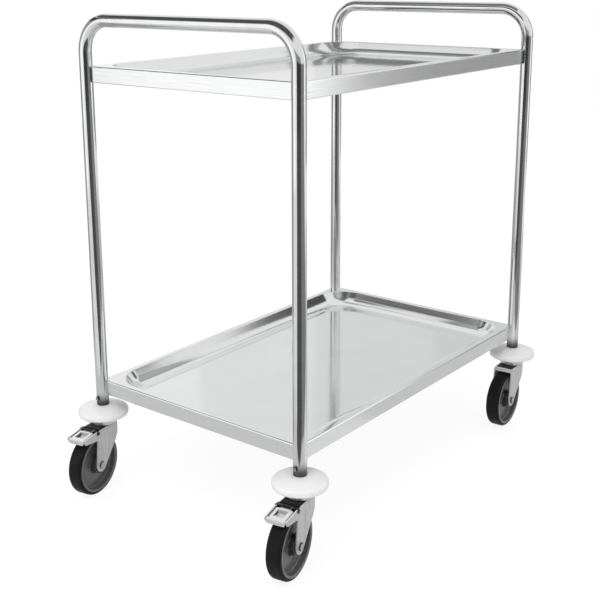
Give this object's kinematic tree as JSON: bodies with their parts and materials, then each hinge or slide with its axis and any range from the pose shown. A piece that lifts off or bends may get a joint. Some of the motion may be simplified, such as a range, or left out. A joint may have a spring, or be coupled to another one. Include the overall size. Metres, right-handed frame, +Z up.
{
  "type": "serving trolley",
  "caption": "Stainless serving trolley: bent tube ends that form push handles, pressed tray shelves, white bumper discs and swivel castors, braked at one end.",
  "frame": {"origin": "on the floor, at the plan centre of the four legs", "axes": "+X along the trolley away from the braked end, +Y across it towards the rear, +Z up"},
  "size_m": [0.9525, 0.6, 0.947],
  "materials": {
    "stainless_tube": "satin polished stainless tube",
    "stainless_sheet": "brushed stainless sheet",
    "zinc_plate": "bright zinc plated pressing",
    "steel_fastener": "plated fastener steel",
    "white_bumper": "smooth moulded white plastic",
    "grey_rim": "fine textured moulded grey plastic",
    "dark_tyre": "matt dark rubber",
    "black_sleeve": "moulded black plastic"
  },
  "bodies": {
    "chassis": {"left_end_frame": "stainless_tube", "right_end_frame": "stainless_tube", "upper_shelf": "stainless_sheet", "lower_shelf": "stainless_sheet", "leg_sleeves": "black_sleeve", "clamp_screws": "steel_fastener", "bumper_disc_front_left": "white_bumper", "castor_stem_front_left": "steel_fastener", "swivel_cup_front_left": "zinc_plate", "kingpin_nut_front_left": "steel_fastener", "bumper_disc_rear_left": "white_bumper", "castor_stem_rear_left": "steel_fastener", "swivel_cup_rear_left": "zinc_plate", "kingpin_nut_rear_left": "steel_fastener", "bumper_disc_front_right": "white_bumper", "castor_stem_front_right": "steel_fastener", "swivel_cup_front_right": "zinc_plate", "kingpin_nut_front_right": "steel_fastener", "bumper_disc_rear_right": "white_bumper", "castor_stem_rear_right": "steel_fastener", "swivel_cup_rear_right": "zinc_plate", "kingpin_nut_rear_right": "steel_fastener"},
    "castor_front_left": {"fork_front_left": "zinc_plate", "ball_ring_front_left": "steel_fastener", "axle_bolt_front_left": "steel_fastener", "axle_nut_front_left": "steel_fastener", "axle_bush_front_left": "steel_fastener", "pedal_pin_front_left": "steel_fastener"},
    "wheel_front_left": {"wheel_rim_front_left": "grey_rim", "tyre_front_left": "dark_tyre"},
    "brake_front_left": {"brake_pedal_front_left": "zinc_plate", "brake_shoe_front_left": "zinc_plate"},
    "castor_rear_left": {"fork_rear_left": "zinc_plate", "ball_ring_rear_left": "steel_fastener", "axle_bolt_rear_left": "steel_fastener", "axle_nut_rear_left": "steel_fastener", "axle_bush_rear_left": "steel_fastener", "pedal_pin_rear_left": "steel_fastener"},
    "wheel_rear_left": {"wheel_rim_rear_left": "grey_rim", "tyre_rear_left": "dark_tyre"},
    "brake_rear_left": {"brake_pedal_rear_left": "zinc_plate", "brake_shoe_rear_left": "zinc_plate"},
    "castor_front_right": {"fork_front_right": "zinc_plate", "ball_ring_front_right": "steel_fastener", "axle_bolt_front_right": "steel_fastener", "axle_nut_front_right": "steel_fastener", "axle_bush_front_right": "steel_fastener"},
    "wheel_front_right": {"wheel_rim_front_right": "grey_rim", "tyre_front_right": "dark_tyre"},
    "castor_rear_right": {"fork_rear_right": "zinc_plate", "ball_ring_rear_right": "steel_fastener", "axle_bolt_rear_right": "steel_fastener", "axle_nut_rear_right": "steel_fastener", "axle_bush_rear_right": "steel_fastener"},
    "wheel_rear_right": {"wheel_rim_rear_right": "grey_rim", "tyre_rear_right": "dark_tyre"}
  },
  "joints": [
    {"name": "swivel_front_left", "type": "hinge", "parent": "chassis", "child": "castor_front_left", "pos_m": [-0.4, -0.25, 0.137], "axis": [0, 0, 1], "continuous": true},
    {"name": "wheel_spin_front_left", "type": "hinge", "parent": "castor_front_left", "child": "wheel_front_left", "pos_m": [-0.43939, -0.25695, 0.0625], "axis": [0.1736, -0.9848, 0], "continuous": true},
    {"name": "brake_press_front_left", "type": "hinge", "parent": "castor_front_left", "child": "brake_front_left", "pos_m": [-0.44629, -0.25816, 0.1325], "axis": [0.1736, -0.9848, 0], "range_deg": [0, 10]},
    {"name": "swivel_rear_left", "type": "hinge", "parent": "chassis", "child": "castor_rear_left", "pos_m": [-0.4, 0.25, 0.137], "axis": [0, 0, 1], "continuous": true},
    {"name": "wheel_spin_rear_left", "type": "hinge", "parent": "castor_rear_left", "child": "wheel_rear_left", "pos_m": [-0.43939, 0.24305, 0.0625], "axis": [0.1736, -0.9848, 0], "continuous": true},
    {"name": "brake_press_rear_left", "type": "hinge", "parent": "castor_rear_left", "child": "brake_rear_left", "pos_m": [-0.44629, 0.24184, 0.1325], "axis": [0.1736, -0.9848, 0], "range_deg": [0, 10]},
    {"name": "swivel_front_right", "type": "hinge", "parent": "chassis", "child": "castor_front_right", "pos_m": [0.4, -0.25, 0.137], "axis": [0, 0, 1], "continuous": true},
    {"name": "wheel_spin_front_right", "type": "hinge", "parent": "castor_front_right", "child": "wheel_front_right", "pos_m": [0.36005, -0.25209, 0.0625], "axis": [0.0523, -0.9986, 0], "continuous": true},
    {"name": "swivel_rear_right", "type": "hinge", "parent": "chassis", "child": "castor_rear_right", "pos_m": [0.4, 0.25, 0.137], "axis": [0, 0, 1], "continuous": true},
    {"name": "wheel_spin_rear_right", "type": "hinge", "parent": "castor_rear_right", "child": "wheel_rear_right", "pos_m": [0.36022, 0.24582, 0.0625], "axis": [0.1045, -0.9945, 0], "continuous": true}
  ]
}
